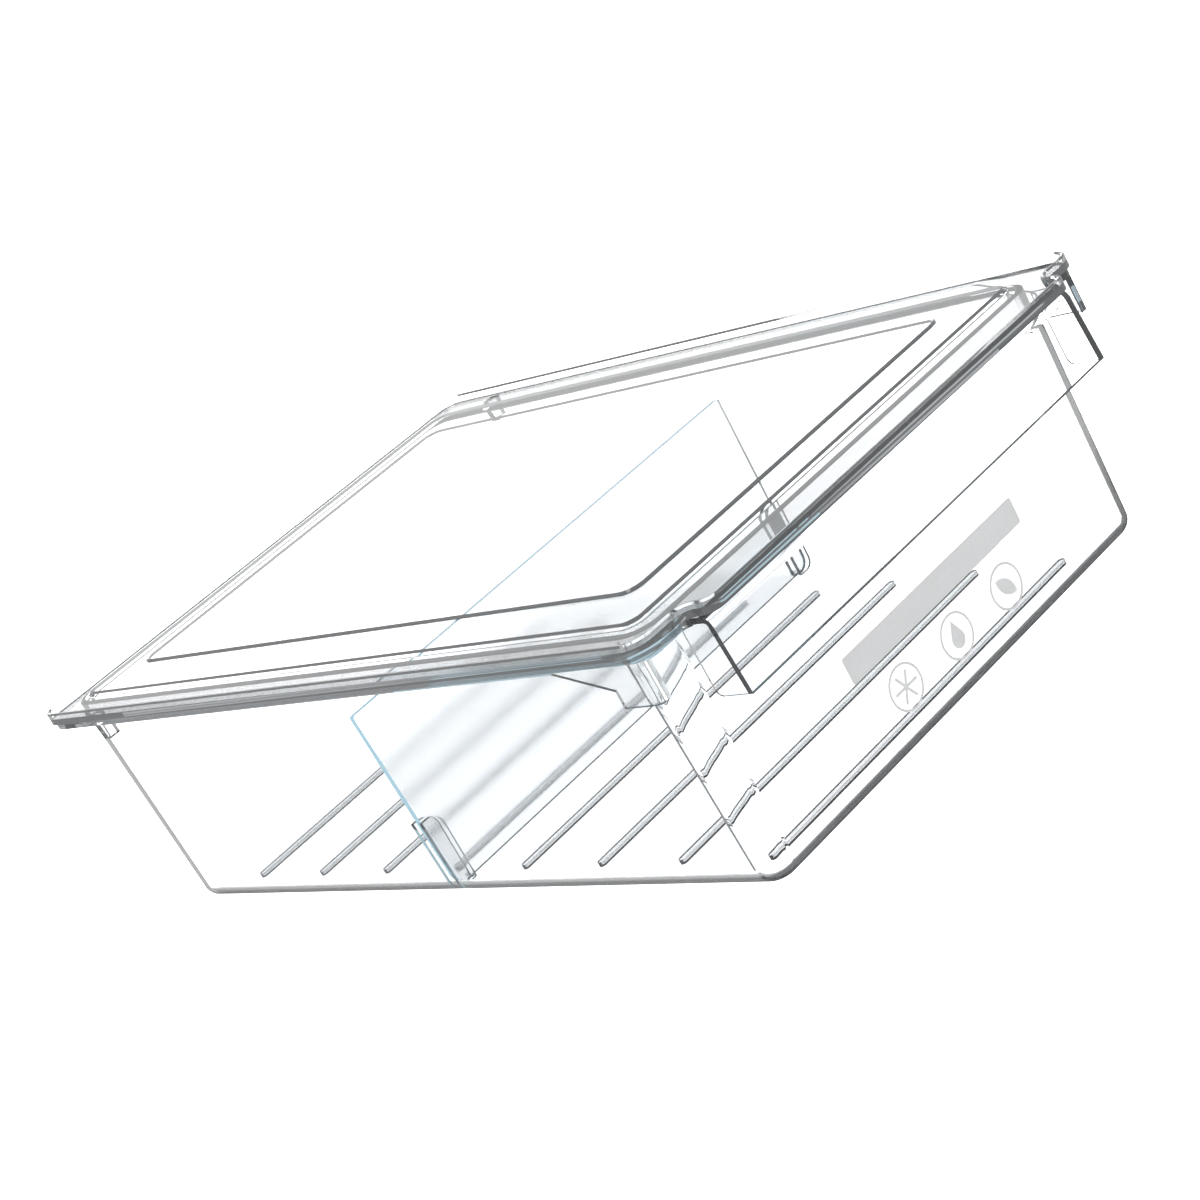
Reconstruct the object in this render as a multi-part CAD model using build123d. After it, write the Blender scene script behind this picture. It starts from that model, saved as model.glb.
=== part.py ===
from build123d import *
import os
from math import floor, hypot, radians, tan

# Clear storage drawer with a lid and a divider, made to hang by its rim on rails under a refrigerator shelf.
# Sizes are in millimetres. The origin is the middle of the floor's underside, +Z is up, the pull faces -Y.

# Drawer box: floor and drafted walls
floor_width = 172.0
floor_depth = 273.8
floor_thickness = 2.0
wall = 1.8
draft_angle = 1.79
corner_radius = 7.0
bottom_radius = 5.0

# Drawer box: flat rim that hangs on the rails
rim_height = 76.0
rim_thickness = 2.0
rim_side = 8.6
rim_front = 7.7
rim_back = 1.9
rim_corner_radius = 6.0

# Drawer box: hooded pull at the front of the rim
pull_side_inset = 5.6
pull_reach = 8.2
pull_drop = 22.4
pull_lean = 1.4
pull_wall = 2.4
pull_cheek = 1.0
pull_bend_radius = 3.6
pull_cheek_lap = 3.3
pull_shoulder_radius = 3.0
pull_heel_radius = 2.2

# Drawer box: stop fins under the front corners of the rim
fin_setback = 2.4
fin_length = 14.1
fin_drop = 11.6
fin_step = 5.0
fin_ramp = 20.2
fin_thickness = 1.8

# Drawer box: stop lugs under the rim near its back end
lug_length = 4.4
lug_width = 4.0
lug_height = 5.5
lug_ramp = 0.8
lug_setback = 24.5
lug_edge_gap = 1.0

# Drawer box: ribs across the floor, spaced from the divider's middle
rib_pitch = 33.75
rib_behind_divider = 11.0
rib_wall_gap = 10.0
rib_left_gap = 8.2
rib_right_gap = 20.6
rib_width = 2.4
rib_height = 1.5

# Drawer box: guide ribs that hold the divider upright
guide_height = 23.0
guide_reach = 6.0
guide_rib = 1.5
guide_top_radius = 4.5
guide_play = 0.3

# Divider: flat plate at mid-depth
divider_thickness = 2.0
divider_height = 59.6
divider_end_play = 0.8
divider_top_radius = 0.8

# Lid: brim with an upturned bead, crown and raised panel
lid_thickness = 1.8
lid_overhang = 1.0
lid_bead_width = 1.5
lid_bead_height = 2.1
lid_bead_bevel = 0.5
lid_tab_reach = 2.9
lid_tab_radius = 4.5
lid_side_play = 0.8
lid_end_play = 3.2
lid_locator_depth = 1.4
lid_locator_rib = 1.0
crown_rise = 1.1
crown_slope_run = 1.4
crown_corner_radius = 6.0
panel_side_inset = 15.7
panel_end_inset = 14.4
panel_step = 0.9
panel_radius = 6.0
panel_bevel = 0.6

# Film of air left under a piece that rests on another
rest_gap = 0.3

# Cutting tools reach this far past the faces that they open
cut_over = 1.0

# Heights and places that follow from the sizes above
draft = tan(radians(draft_angle))
rim_underside = rim_height - rim_thickness
mouth_growth = rim_height * draft
rim_front_y = -(floor_depth / 2 + mouth_growth + rim_front)
rim_back_y = floor_depth / 2 + mouth_growth + rim_back
rim_half_width = floor_width / 2 + mouth_growth + rim_side
pull_width = floor_width - 2 * pull_side_inset
pull_front_y = rim_front_y - pull_reach
pull_bottom = rim_height - pull_drop


def box_plan(growth):
    """The floor's rounded rectangle, grown outwards on every side."""
    return RectangleRounded(floor_width + 2 * growth, floor_depth + 2 * growth, corner_radius + growth)


def rim_plan(growth=0.0):
    """Rounded rectangle of the rim, without the pull, grown outwards on every side."""
    depth = rim_back_y - rim_front_y
    middle = (rim_back_y + rim_front_y) / 2
    plan = RectangleRounded(2 * (rim_half_width + growth), depth + 2 * growth, rim_corner_radius + growth)
    return Pos(0, middle) * plan


def with_tab(plan, half_width, front, root_radius, tip_radius):
    """Plan with a tab reaching forward from its front edge, turned in and out by round corners."""
    plan_front = plan.bounding_box().min.Y
    tab = Pos(0, plan_front) * Rectangle(2 * half_width, 2 * (plan_front - front))
    joined = plan + tab
    on_tab = joined.vertices().filter_by(lambda corner: abs(corner.X) < half_width + cut_over)
    tips, roots = on_tab.group_by(Axis.Y)[:2]
    if tip_radius > 0:
        joined = fillet(tips, tip_radius)
        on_tab = joined.vertices().filter_by(lambda corner: abs(corner.X) < half_width + cut_over)
        roots = on_tab.filter_by(lambda corner: abs(corner.Y - plan_front) < root_radius / 2)
    return fillet(roots, root_radius)


def raised(plan, low, high):
    """Upright prism of a plan between two heights."""
    return extrude(Pos(0, 0, low) * plan, high - low)


def lowest_edges(solid):
    return solid.edges().group_by(Axis.Z)[0]


def highest_edges(solid):
    return solid.edges().group_by(Axis.Z)[-1]


def across(profile, half_width):
    """Prism across the box, of a profile in the Y-Z plane."""
    return extrude(Plane.YZ * profile, half_width, both=True)


def outlined(points):
    return make_face(Polyline(*points, close=True))


def drafted_block(low, high, inset):
    """Block between two heights whose sides lie a given distance inside the drafted outer faces."""
    sections = [Pos(0, 0, z) * box_plan(z * draft - inset) for z in (low, high)]
    block = loft(sections, ruled=True)
    return fillet(lowest_edges(block), bottom_radius - inset)


def apron_y(z, inset):
    """Place of the pull's leaning front at a height, a given distance inside its outer face."""
    return pull_front_y + inset - (rim_height - z) * pull_lean / pull_drop


def make_pull():
    """Hood in front of the rim: its top bends down into an apron, with a cheek closing each end."""
    back = rim_front_y + pull_cheek_lap
    shape = outlined([
        (back, rim_height),
        (apron_y(rim_height, 0), rim_height),
        (apron_y(pull_bottom, 0), pull_bottom),
        (back, pull_bottom),
    ])
    heel = shape.vertices().group_by(Axis.Y)[0].sort_by(Axis.X)[-1]
    shape = fillet(heel, pull_heel_radius)
    bend = shape.vertices().group_by(Axis.Y)[-1].sort_by(Axis.X)[0]
    shape = fillet(bend, pull_bend_radius)
    below = pull_bottom - cut_over
    behind = back + cut_over
    cavity = outlined([
        (behind, rim_underside),
        (apron_y(rim_underside, pull_wall), rim_underside),
        (apron_y(below, pull_wall), below),
        (behind, below),
    ])
    bend = cavity.vertices().group_by(Axis.Y)[-1].sort_by(Axis.X)[0]
    cavity = fillet(bend, pull_bend_radius - pull_wall)
    return across(shape, pull_width / 2) - across(cavity, pull_width / 2 - pull_cheek)


def make_stop_fins():
    """Fins that follow the rim's edge round its front corners and stop the drawer against the rail ends."""
    front = rim_front_y + fin_setback
    back = front + fin_length
    low = rim_underside - fin_drop
    skirt = raised(rim_plan() - rim_plan(-fin_thickness), low, rim_underside)
    side = outlined([
        (front, rim_underside),
        (front, low),
        (back, low),
        (back, low + fin_step),
        (back + fin_ramp, rim_underside),
    ])
    return skirt & across(side, rim_half_width)


def make_stop_lugs():
    """Lugs under the side rims, upright in front, leaning behind, that keep the drawer from pulling out."""
    back = rim_back_y - lug_setback
    front = back - lug_length
    low = rim_underside - lug_height
    side = outlined([
        (front, rim_underside),
        (front, low),
        (back - lug_ramp, low),
        (back, rim_underside),
    ])
    outer = rim_half_width - lug_edge_gap
    return across(side, outer) - across(side, outer - lug_width)


def make_floor_ribs():
    """Low ribs with round ends across the floor; the divider stands between two of them."""
    inner_half_width = floor_width / 2 - wall
    left = rib_left_gap - inner_half_width
    right = inner_half_width - rib_right_gap
    reach = floor_depth / 2 - rib_wall_gap
    rows_behind = floor((reach - rib_behind_divider) / rib_pitch)
    rows_before = floor((reach + rib_behind_divider) / rib_pitch)
    plan = Pos((left + right) / 2, 0) * SlotOverall(right - left, rib_width)
    rib = raised(plan, floor_thickness, floor_thickness + rib_height)
    rows = range(-rows_before, rows_behind + 1)
    return [Pos(0, rib_behind_divider + row * rib_pitch, 0) * rib for row in rows]


def make_guides():
    """A pair of ribs on each side wall, a divider's thickness apart, with rounded inner tops."""
    inner_end = floor_width / 2 - wall - guide_reach
    outer_end = rim_half_width
    near_face = divider_thickness / 2 + guide_play
    plan = Pos(inner_end, near_face) * Rectangle(outer_end - inner_end, guide_rib, align=Align.MIN)
    rib = raised(plan, 0, floor_thickness + guide_height)
    inner_top = highest_edges(rib).filter_by(Axis.Y).sort_by(Axis.X)[0]
    rib = fillet(inner_top, guide_top_radius) & drafted_block(floor_thickness / 2, rim_height, wall / 2)
    pair = rib + mirror(rib, Plane.XZ)
    return pair + mirror(pair, Plane.YZ)


def make_drawer_box():
    outside = drafted_block(0, rim_height, 0)
    inside = drafted_block(floor_thickness, rim_height + cut_over, wall)
    flat_front = pull_front_y + pull_bend_radius
    plan = with_tab(rim_plan(), pull_width / 2, flat_front, pull_shoulder_radius, 0)
    rim = raised(plan, rim_underside, rim_height)
    shell = outside + rim + make_pull() + make_stop_fins() + make_stop_lugs() - inside
    return shell + make_guides() + make_floor_ribs()


def sloped_step(plan, low, rise, run):
    """Block on a rounded plan whose sides lean in by a run as they rise."""
    return loft([Pos(0, 0, low) * plan, Pos(0, 0, low + rise) * offset(plan, -run)], ruled=True)


def make_lid():
    """Sheet with a brim over the rim, a low crown inside it, and a rib below that locates it in the mouth."""
    tab_front = pull_front_y - lid_tab_reach
    outline = with_tab(rim_plan(lid_overhang), pull_width / 2, tab_front, lid_tab_radius, lid_tab_radius)
    brim_low = rim_height + rest_gap
    brim_top = brim_low + lid_thickness
    crown_top = brim_top + crown_rise
    ceiling = crown_top - lid_thickness
    locator_bottom = rim_height - lid_locator_depth
    crown_width = floor_width + 2 * (mouth_growth - wall - lid_side_play)
    crown_depth = floor_depth + 2 * (mouth_growth - wall - lid_end_play)
    crown_plan = RectangleRounded(crown_width, crown_depth, crown_corner_radius)
    slope_miter = lid_thickness * (hypot(crown_rise, crown_slope_run) - crown_slope_run) / crown_rise
    panel_width = crown_width - 2 * panel_side_inset
    panel_depth = crown_depth - 2 * panel_end_inset
    panel_plan = RectangleRounded(panel_width, panel_depth, panel_radius)
    brim = raised(outline, brim_low, brim_top)
    bead = raised(outline - offset(outline, -lid_bead_width), brim_top, brim_top + lid_bead_height)
    bead = chamfer(highest_edges(bead), lid_bead_bevel)
    crown = sloped_step(crown_plan, brim_top, crown_rise, crown_slope_run)
    hollow = sloped_step(offset(crown_plan, -slope_miter), brim_low, crown_rise, crown_slope_run)
    panel = raised(panel_plan, crown_top, crown_top + panel_step)
    panel = chamfer(highest_edges(panel), panel_bevel)
    relief = raised(offset(panel_plan, -panel_step), ceiling, ceiling + panel_step)
    locator_plan = crown_plan - offset(crown_plan, -lid_locator_rib)
    locator = raised(locator_plan, locator_bottom, brim_low + lid_thickness / 2)
    return brim + bead + crown + panel - hollow - relief + locator


def make_divider():
    """Plate whose ends follow the draft of the side walls, standing on the floor."""
    bottom = floor_thickness + rest_gap
    top = bottom + divider_height
    half_low = floor_width / 2 - wall - divider_end_play + bottom * draft
    half_high = half_low + divider_height * draft
    plate = outlined([
        (-half_low, bottom),
        (half_low, bottom),
        (half_high, top),
        (-half_high, top),
    ])
    tops = plate.vertices().group_by(Axis.Y)[-1]
    foot_radius = bottom_radius - wall + divider_end_play
    plate = fillet(tops, divider_top_radius)
    feet = plate.vertices().filter_by(lambda corner: corner.Y < bottom + divider_top_radius)
    plate = fillet(feet, foot_radius)
    return extrude(Plane.XZ * plate, divider_thickness / 2, both=True)


os.makedirs("parts", exist_ok=True)
pieces = {
    "drawer_box": make_drawer_box(),
    "lid": make_lid(),
    "divider": make_divider(),
}
for name, piece in pieces.items():
    export_step(piece, f"parts/{name}.step")
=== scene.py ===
import math

import bmesh
import bpy
from mathutils import Matrix, Vector
from mathutils.bvhtree import BVHTree


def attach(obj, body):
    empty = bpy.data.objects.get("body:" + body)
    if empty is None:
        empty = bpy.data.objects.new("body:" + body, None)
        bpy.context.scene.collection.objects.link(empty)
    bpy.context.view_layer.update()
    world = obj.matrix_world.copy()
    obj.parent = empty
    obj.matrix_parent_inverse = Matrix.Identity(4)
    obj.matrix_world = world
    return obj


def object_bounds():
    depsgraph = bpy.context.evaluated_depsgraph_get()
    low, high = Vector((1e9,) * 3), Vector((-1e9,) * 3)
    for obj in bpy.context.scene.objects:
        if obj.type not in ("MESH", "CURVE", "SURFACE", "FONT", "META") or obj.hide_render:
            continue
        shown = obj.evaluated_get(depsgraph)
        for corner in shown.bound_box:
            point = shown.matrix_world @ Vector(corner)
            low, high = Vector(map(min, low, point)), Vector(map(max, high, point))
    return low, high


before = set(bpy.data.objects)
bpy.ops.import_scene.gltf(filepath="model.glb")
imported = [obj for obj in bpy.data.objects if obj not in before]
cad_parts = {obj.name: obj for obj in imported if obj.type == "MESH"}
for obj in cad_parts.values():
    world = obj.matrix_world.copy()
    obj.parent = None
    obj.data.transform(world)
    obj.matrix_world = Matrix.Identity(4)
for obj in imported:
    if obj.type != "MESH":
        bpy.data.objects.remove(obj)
cad_low, cad_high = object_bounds()


# The drawer box: one injection moulding in clear, colourless plastic, with polished faces.
# Its floor, drafted walls, rim, hooded pull, fins, lugs and ribs leave the mould together.
# Long paths inside the walls take a cool grey tint, so that edges show darker than faces.
def clear_plastic(name, clear_tone, tint, density, polish, painted_edge_glow):
    """Polished clear plastic with faint smears in its gloss.

    It tints the light that travels far inside it. Where light has been turned back more than once inside
    it, the plastic gives off a painted glow in the given edge tone, so that its edges show grey where they
    would go black.
    """
    refraction = 1.49
    smear_scale = 30.0
    smear_detail = 3.0
    smears_begin = 0.5
    smears_full = 0.75
    smear_haze = 0.015
    turned_once = 1.0
    turned_twice = 2.0
    material = bpy.data.materials.new(name)
    material.use_nodes = True
    nodes = material.node_tree.nodes
    links = material.node_tree.links
    plastic = nodes["Principled BSDF"]
    plastic.inputs["Base Color"].default_value = (*clear_tone, 1.0)
    plastic.inputs["Transmission Weight"].default_value = 1.0
    plastic.inputs["IOR"].default_value = refraction
    place = nodes.new("ShaderNodeTexCoord")
    smears = nodes.new("ShaderNodeTexNoise")
    smears.inputs["Scale"].default_value = smear_scale
    smears.inputs["Detail"].default_value = smear_detail
    links.new(place.outputs["Object"], smears.inputs["Vector"])
    gloss = nodes.new("ShaderNodeMapRange")
    gloss.inputs["From Min"].default_value = smears_begin
    gloss.inputs["From Max"].default_value = smears_full
    gloss.inputs["To Min"].default_value = polish
    gloss.inputs["To Max"].default_value = polish + smear_haze
    links.new(smears.outputs["Fac"], gloss.inputs["Value"])
    links.new(gloss.outputs["Result"], plastic.inputs["Roughness"])
    # Painted glow: the plastic emits the edge tone once light has been turned back inside it, though it is
    # no lamp.
    rays = nodes.new("ShaderNodeLightPath")
    painted_glow_strength = nodes.new("ShaderNodeMapRange")
    painted_glow_strength.inputs["From Min"].default_value = turned_once
    painted_glow_strength.inputs["From Max"].default_value = turned_twice
    links.new(rays.outputs["Glossy Depth"], painted_glow_strength.inputs["Value"])
    links.new(painted_glow_strength.outputs["Result"], plastic.inputs["Emission Strength"])
    plastic.inputs["Emission Color"].default_value = (*painted_edge_glow, 1.0)
    material.cycles.emission_sampling = "NONE"
    depth = nodes.new("ShaderNodeVolumeAbsorption")
    depth.inputs["Color"].default_value = (*tint, 1.0)
    depth.inputs["Density"].default_value = density
    links.new(depth.outputs["Volume"], nodes["Material Output"].inputs["Volume"])
    return material


def dress(node, material):
    node.data.materials.clear()
    node.data.materials.append(material)


drawer_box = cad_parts["drawer_box"]
moulding_tone = (0.99, 0.995, 1.0)
moulding_tint = (0.72, 0.75, 0.77)
moulding_density = 45.0
moulding_polish = 0.002
# Painted glow: the tone the box plastic gives off where light is turned back inside it.
moulding_painted_glow = (0.014, 0.0145, 0.015)
# Painted shade: the grey laid into the base colour of the floor ribs.
rib_painted_shade = (0.50, 0.51, 0.525)
rib_middle_height = 0.0029
rib_half_height = 0.0007
rib_half_reach = Vector((0.0795, 0.129))


def paint_shade_on_ribs(material):
    """Paints grey shade into the base colour on the floor ribs, inside a box of heights and reaches, in
    place of the shade their shape shows in the clear plastic.
    """
    nodes = material.node_tree.nodes
    links = material.node_tree.links
    place = nodes.new("ShaderNodeTexCoord")
    axes = nodes.new("ShaderNodeSeparateXYZ")
    links.new(place.outputs["Object"], axes.inputs["Vector"])
    bands = []
    for axis, middle, half in (
        ("X", 0.0, rib_half_reach.x),
        ("Y", 0.0, rib_half_reach.y),
        ("Z", rib_middle_height, rib_half_height),
    ):
        band = nodes.new("ShaderNodeMath")
        band.operation = "COMPARE"
        band.inputs[1].default_value = middle
        band.inputs[2].default_value = half
        links.new(axes.outputs[axis], band.inputs[0])
        bands.append(band.outputs["Value"])
    rib_shade_mask = bands[0]
    for band in bands[1:]:
        both = nodes.new("ShaderNodeMath")
        both.operation = "MULTIPLY"
        links.new(rib_shade_mask, both.inputs[0])
        links.new(band, both.inputs[1])
        rib_shade_mask = both.outputs["Value"]
    tone = nodes.new("ShaderNodeMix")
    tone.data_type = "RGBA"
    tone.inputs["A"].default_value = (*moulding_tone, 1.0)
    tone.inputs["B"].default_value = (*rib_painted_shade, 1.0)
    links.new(rib_shade_mask, tone.inputs["Factor"])
    links.new(tone.outputs["Result"], nodes["Principled BSDF"].inputs["Base Color"])


box_plastic = clear_plastic(
    "clear_box_plastic", moulding_tone, moulding_tint, moulding_density, moulding_polish, moulding_painted_glow
)
paint_shade_on_ribs(box_plastic)
dress(drawer_box, box_plastic)

# The print on the front wall: a bare band with three plain signs below it, for cold, damp and greens.
# It is pale grey ink, screen printed on the outside of the finished wall, and lies in the wall's slope.
ink_thickness = 0.00006
ink_lift = 0.00002
band_middle = Vector((0.0035, 0.031))
band_width = 0.079
band_height = 0.008
band_corner = 0.0008
sign_row_height = 0.0162
sign_pitch = 0.024
ring_radius = 0.0066
ring_line = 0.0007
arc_steps = 24
corner_steps = 6
ray_run_up = 0.01

box_faces = BVHTree.FromPolygons(
    [vertex.co for vertex in drawer_box.data.vertices],
    [face.vertices for face in drawer_box.data.polygons],
)


def on_front_wall(x, z, lift):
    """The point that stands lift in front of the wall's outer face."""
    start = Vector((x, cad_low.y - ray_run_up, z))
    place, outward = box_faces.ray_cast(start, Vector((0.0, 1.0, 0.0)))[:2]
    return place + outward * lift


def arc(middle, radius, start, end, steps):
    """Points from the angle start to the angle end, both in degrees."""
    angles = [math.radians(start + (end - start) * step / steps) for step in range(steps + 1)]
    return [
        Vector((middle[0] + radius * math.cos(angle), middle[1] + radius * math.sin(angle)))
        for angle in angles
    ]


def add_ink(shape, outer, inner=None):
    """Lays one closed film of ink on the wall, inside the outer line and outside the inner one."""
    films = []
    for line in [outer] if inner is None else [outer, inner]:
        back = [shape.verts.new(on_front_wall(point.x, point.y, ink_lift)) for point in line]
        front = [
            shape.verts.new(on_front_wall(point.x, point.y, ink_lift + ink_thickness)) for point in line
        ]
        films.append((back, front))
    count = len(outer)
    for back, front in films:
        for i in range(count):
            j = (i + 1) % count
            shape.faces.new((back[i], back[j], front[j], front[i]))
    for side in (0, 1):
        edge = films[0][side]
        if inner is None:
            shape.faces.new(edge)
        else:
            hole = films[1][side]
            for i in range(count):
                j = (i + 1) % count
                shape.faces.new((edge[i], edge[j], hole[j], hole[i]))


def print_on_wall(name, shape, material):
    bmesh.ops.recalc_face_normals(shape, faces=shape.faces)
    mesh = bpy.data.meshes.new(name)
    shape.to_mesh(mesh)
    shape.free()
    mesh.materials.append(material)
    piece = bpy.data.objects.new(name, mesh)
    bpy.context.scene.collection.objects.link(piece)
    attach(piece, "root")


def screen_ink(name, light_tone, dark_tone, sheerness):
    """Matt ink with the fine speckle that a screen leaves, thin enough to let some light through."""
    speckle_scale = 1800.0
    speckle_detail = 2.0
    dark_until = 0.3
    light_from = 0.7
    smoothest = 0.45
    roughest = 0.65
    material = bpy.data.materials.new(name)
    material.use_nodes = True
    nodes = material.node_tree.nodes
    links = material.node_tree.links
    ink = nodes["Principled BSDF"]
    ink.inputs["Transmission Weight"].default_value = sheerness
    place = nodes.new("ShaderNodeTexCoord")
    speckle = nodes.new("ShaderNodeTexNoise")
    speckle.inputs["Scale"].default_value = speckle_scale
    speckle.inputs["Detail"].default_value = speckle_detail
    links.new(place.outputs["Object"], speckle.inputs["Vector"])
    tones = nodes.new("ShaderNodeValToRGB")
    tones.color_ramp.elements[0].position = dark_until
    tones.color_ramp.elements[0].color = (*dark_tone, 1.0)
    tones.color_ramp.elements[1].position = light_from
    tones.color_ramp.elements[1].color = (*light_tone, 1.0)
    links.new(speckle.outputs["Fac"], tones.inputs["Fac"])
    links.new(tones.outputs["Color"], ink.inputs["Base Color"])
    matt = nodes.new("ShaderNodeMapRange")
    matt.inputs["To Min"].default_value = smoothest
    matt.inputs["To Max"].default_value = roughest
    links.new(speckle.outputs["Fac"], matt.inputs["Value"])
    links.new(matt.outputs["Result"], ink.inputs["Roughness"])
    return material


ink_light = (0.90, 0.905, 0.91)
ink_dark = (0.85, 0.855, 0.86)
ink_sheerness = 0.35
pale_ink = screen_ink("pale_grey_ink", ink_light, ink_dark, ink_sheerness)

band = bmesh.new()
band_line = []
for turn, (side, level) in enumerate(((1, 1), (-1, 1), (-1, -1), (1, -1))):
    corner = (
        band_middle.x + side * (band_width / 2 - band_corner),
        band_middle.y + level * (band_height / 2 - band_corner),
    )
    band_line += arc(corner, band_corner, 90 * turn, 90 * turn + 90, corner_steps)
add_ink(band, band_line)
print_on_wall("front_band", band, pale_ink)

signs = bmesh.new()
sign_middles = [Vector((band_middle.x + sign_pitch * step, sign_row_height)) for step in (-1, 0, 1)]
for middle in sign_middles:
    circle = arc(middle, ring_radius, 0, 360, arc_steps * 2)[:-1]
    bore = arc(middle, ring_radius - ring_line, 0, 360, arc_steps * 2)[:-1]
    add_ink(signs, circle, bore)

cold_spokes = 6
cold_turn = 360 // cold_spokes
cold_spoke = 0.0046
cold_half_line = 0.0004
cold_line = []
for spoke in range(cold_spokes):
    heading = math.radians(cold_turn * spoke)
    along = Vector((math.cos(heading), math.sin(heading)))
    aside = Vector((-along.y, along.x))
    cold_line.append(sign_middles[0] + along * cold_spoke - aside * cold_half_line)
    cold_line.append(sign_middles[0] + along * cold_spoke + aside * cold_half_line)
    notch = math.radians(cold_turn * spoke + cold_turn // 2)
    cold_line.append(sign_middles[0] + Vector((math.cos(notch), math.sin(notch))) * cold_half_line * 2)
add_ink(signs, cold_line)

drop_radius = 0.0026
drop_tip = 0.0046
drop_sink = 0.0010
drop_middle = sign_middles[1] - Vector((0.0, drop_sink))
drop_side = math.degrees(math.acos(drop_radius / (drop_tip + drop_sink)))
drop_line = arc(drop_middle, drop_radius, 90 + drop_side, 450 - drop_side, arc_steps)
drop_line.append(sign_middles[1] + Vector((0.0, drop_tip)))
add_ink(signs, drop_line)

leaf_radius = 0.0056
leaf_half_turn = 52
leaf_lean = 45
leaf_line = []
for side in (0, 180):
    lean = side + leaf_lean
    bend = math.radians(lean)
    setback = leaf_radius * math.cos(math.radians(leaf_half_turn))
    bend_middle = sign_middles[2] - Vector((math.cos(bend), math.sin(bend))) * setback
    bow = arc(bend_middle, leaf_radius, lean - leaf_half_turn, lean + leaf_half_turn, arc_steps // 2)
    leaf_line += bow[:-1]
add_ink(signs, leaf_line)
print_on_wall("front_signs", signs, pale_ink)

# Painted shade: thin dark matt strips on the plastic, one down each side wall where a front corner's
# rounding ends, in place of the dark line that the rounding shows there.
line_width = 0.0008
line_low = 0.006
line_high = 0.0735
corner_rounding = 0.007
under_rim = 0.0055
# Painted shade: the dark tones of the corner strips.
shade_line_light = (0.26, 0.27, 0.28)
shade_line_dark = (0.20, 0.21, 0.22)
line_sheerness = 0.1
painted_corner_shade = screen_ink("painted_corner_shade_line", shade_line_light, shade_line_dark, line_sheerness)


def on_side_wall(side, setback, height, lift):
    """The point that stands lift outside a side wall, setback behind the front wall's outer face."""
    front = on_front_wall(0.0, line_low, 0.0).y + setback
    outward = Vector((side, 0.0, 0.0))
    foot = box_faces.ray_cast(Vector((side, front, line_low)), -outward)[0]
    start = Vector((foot.x + side * under_rim, front, height))
    return box_faces.ray_cast(start, -outward)[0] + outward * lift


painted_shade_lines = bmesh.new()
for side in (-1.0, 1.0):
    rings = []
    for height in (line_low, line_high):
        ring = []
        for setback, lift in (
            (corner_rounding, ink_lift),
            (corner_rounding + line_width, ink_lift),
            (corner_rounding + line_width, ink_lift + ink_thickness),
            (corner_rounding, ink_lift + ink_thickness),
        ):
            ring.append(painted_shade_lines.verts.new(on_side_wall(side, setback, height, lift)))
        rings.append(ring)
    low, high = rings
    for i in range(len(low)):
        j = (i + 1) % len(low)
        painted_shade_lines.faces.new((low[i], low[j], high[j], high[i]))
    for ring in rings:
        painted_shade_lines.faces.new(ring)
print_on_wall("painted_shade_lines", painted_shade_lines, painted_corner_shade)

# The divider: a flat sheet of the same clear plastic, dropped between the guide ribs on the side walls.
# Its cut edges gather a little more blue than the moulded walls, partly from a bluer tint in the plastic
# and partly from a painted blue glow where light is turned back inside it, and its faces are slightly
# hazed, so that the ribs behind it show as soft streaks.
sheet_tint = (0.62, 0.80, 0.90)
# Painted glow: the blue tone the divider gives off where light is turned back inside it.
sheet_painted_glow = (0.15, 0.23, 0.26)
sheet_haze = 0.16
sheet_plastic = clear_plastic(
    "clear_divider_plastic", moulding_tone, sheet_tint, moulding_density, sheet_haze, sheet_painted_glow
)
dress(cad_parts["divider"], sheet_plastic)

# The lid: one clear moulding laid on the rim and located by a low rib, which drops into the mouth.
# Its bead, crown and raised panel stiffen it; it lifts off by hand.
lid_density = 20.0
# Painted glow: the faint tone the lid gives off where light is turned back inside it.
lid_painted_glow = (0.036, 0.037, 0.038)
lid_plastic = clear_plastic(
    "clear_lid_plastic", moulding_tone, moulding_tint, lid_density, moulding_polish, lid_painted_glow
)
dress(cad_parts["lid"], lid_plastic)

# The floor: a seamless white sheet of studio paper under the drawer, lit as a bright field.
# Light that comes straight through the plastic shows it at full strength, and light that the plastic
# mirrors or turns back inside itself finds it dim. Only the room gleams in the plastic's outer faces.
field_bright = 1.8
field_gleam = 1.2
field_dim = 0.07
field_fill = 0.32
paper_reach = 40.0
paper_gap = 0.0002
paper_tone = (0.92, 0.92, 0.92)
paper_roughness = 0.9
white = (1.0, 1.0, 1.0, 1.0)
paper_mesh = bpy.data.meshes.new("studio_paper")
paper_shape = bmesh.new()
bmesh.ops.create_grid(paper_shape, x_segments=1, y_segments=1, size=paper_reach)
paper_shape.to_mesh(paper_mesh)
paper_shape.free()
paper = bpy.data.objects.new("studio_paper", paper_mesh)
paper.location = (0.0, 0.0, cad_low.z - paper_gap)
bpy.context.scene.collection.objects.link(paper)


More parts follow.
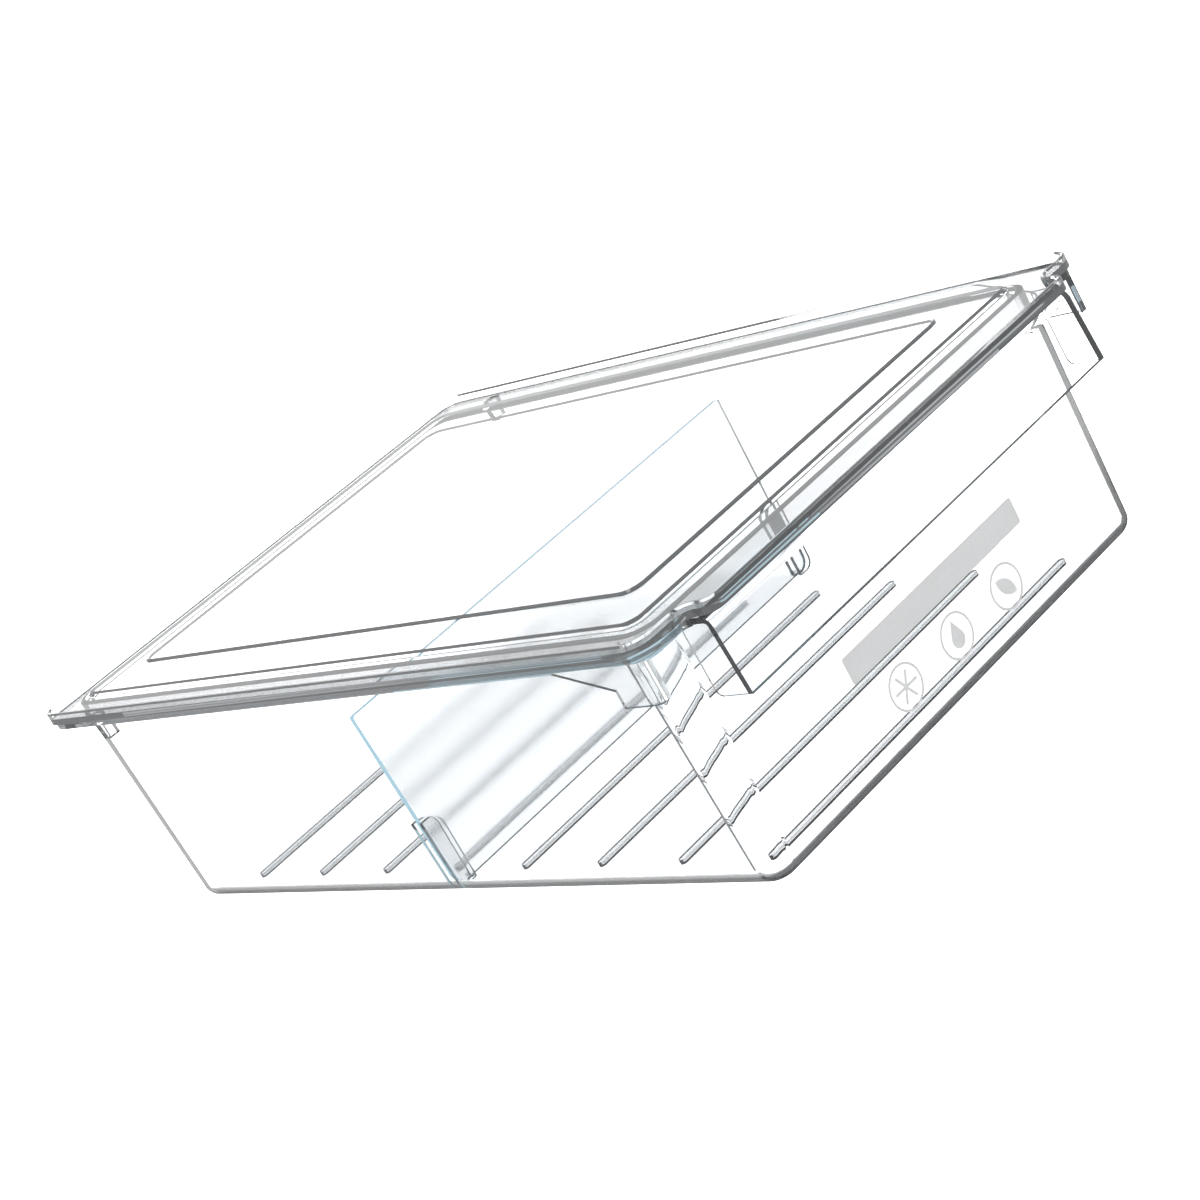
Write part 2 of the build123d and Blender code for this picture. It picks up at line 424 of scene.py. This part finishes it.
def bright_field(tree, gleam):
    """A strength that is full for light straight through the plastic and low once it has been turned back.

    Light mirrored by an outer face, which has not been inside the plastic, takes the strength gleam.
    """
    rays = tree.nodes.new("ShaderNodeLightPath")
    mirrored = tree.nodes.new("ShaderNodeMapRange")
    mirrored.inputs["To Min"].default_value = gleam
    mirrored.inputs["To Max"].default_value = field_dim
    tree.links.new(rays.outputs["Transmission Depth"], mirrored.inputs["Value"])
    through = tree.nodes.new("ShaderNodeMapRange")
    through.inputs["To Min"].default_value = field_bright
    tree.links.new(mirrored.outputs["Result"], through.inputs["To Max"])
    tree.links.new(rays.outputs["Glossy Depth"], through.inputs["Value"])
    fill = tree.nodes.new("ShaderNodeMapRange")
    fill.inputs["To Min"].default_value = 1.0
    fill.inputs["To Max"].default_value = field_fill
    tree.links.new(rays.outputs["Diffuse Depth"], fill.inputs["Value"])
    strength = tree.nodes.new("ShaderNodeMath")
    strength.operation = "MULTIPLY"
    tree.links.new(through.outputs["Result"], strength.inputs[0])
    tree.links.new(fill.outputs["Result"], strength.inputs[1])
    return strength.outputs["Value"]


paper_white = bpy.data.materials.new("white_paper")
paper_white.use_nodes = True
paper_finish = paper_white.node_tree.nodes["Principled BSDF"]
paper_finish.inputs["Base Color"].default_value = (*paper_tone, 1.0)
paper_finish.inputs["Roughness"].default_value = paper_roughness
paper_finish.inputs["Emission Color"].default_value = white
paper_light = bright_field(paper_white.node_tree, field_dim)
paper_white.node_tree.links.new(paper_light, paper_finish.inputs["Emission Strength"])
paper_white.cycles.emission_sampling = "NONE"
paper_mesh.materials.append(paper_white)

# Studio light: a wide soft box high on the left, in a white room that is lit as the paper is.
key_light = bpy.data.lights.new("soft_box", "AREA")
key_light.shape = "RECTANGLE"
key_light.size = 1.6
key_light.size_y = 1.2
key_light.energy = 30.0
key_aim = Vector((0.0, 0.0, 0.04))
key = bpy.data.objects.new("soft_box", key_light)
key.location = (-1.2, -0.6, 1.9)
key.rotation_euler = (key_aim - key.location).to_track_quat("-Z", "Y").to_euler()
bpy.context.scene.collection.objects.link(key)

room = bpy.data.worlds.new("room")
room.use_nodes = True
bpy.context.scene.world = room
sky = room.node_tree.nodes["Background"]
sky.inputs["Color"].default_value = white
room.node_tree.links.new(bright_field(room.node_tree, field_gleam), sky.inputs["Strength"])
room.cycles.sampling_method = "NONE"

# The camera stands in front of the drawer's left corner, a little above it, and is rolled to the left.
image_side = 1200.0
focal_pixels = 2978.175
camera_data = bpy.data.cameras.new("camera")
camera_data.sensor_width = 36.0
camera_data.lens = camera_data.sensor_width * focal_pixels / image_side
camera_data.clip_start = 0.05
camera_data.clip_end = 100.0
camera = bpy.data.objects.new("camera", camera_data)
right = Vector((0.61744522, -0.62943191, -0.47178054))
down = Vector((-0.54648199, 0.08815080, -0.83281863))
ahead = Vector((0.56579045, 0.77203945, -0.28954491))
turn = Matrix((right, -down, -ahead)).transposed().to_4x4()
stand = Vector((-0.494269, -0.685760, 0.296094))
camera.matrix_world = Matrix.Translation(stand) @ turn
bpy.context.scene.collection.objects.link(camera)
bpy.context.scene.camera = camera
bpy.context.scene.view_settings.view_transform = "Standard"
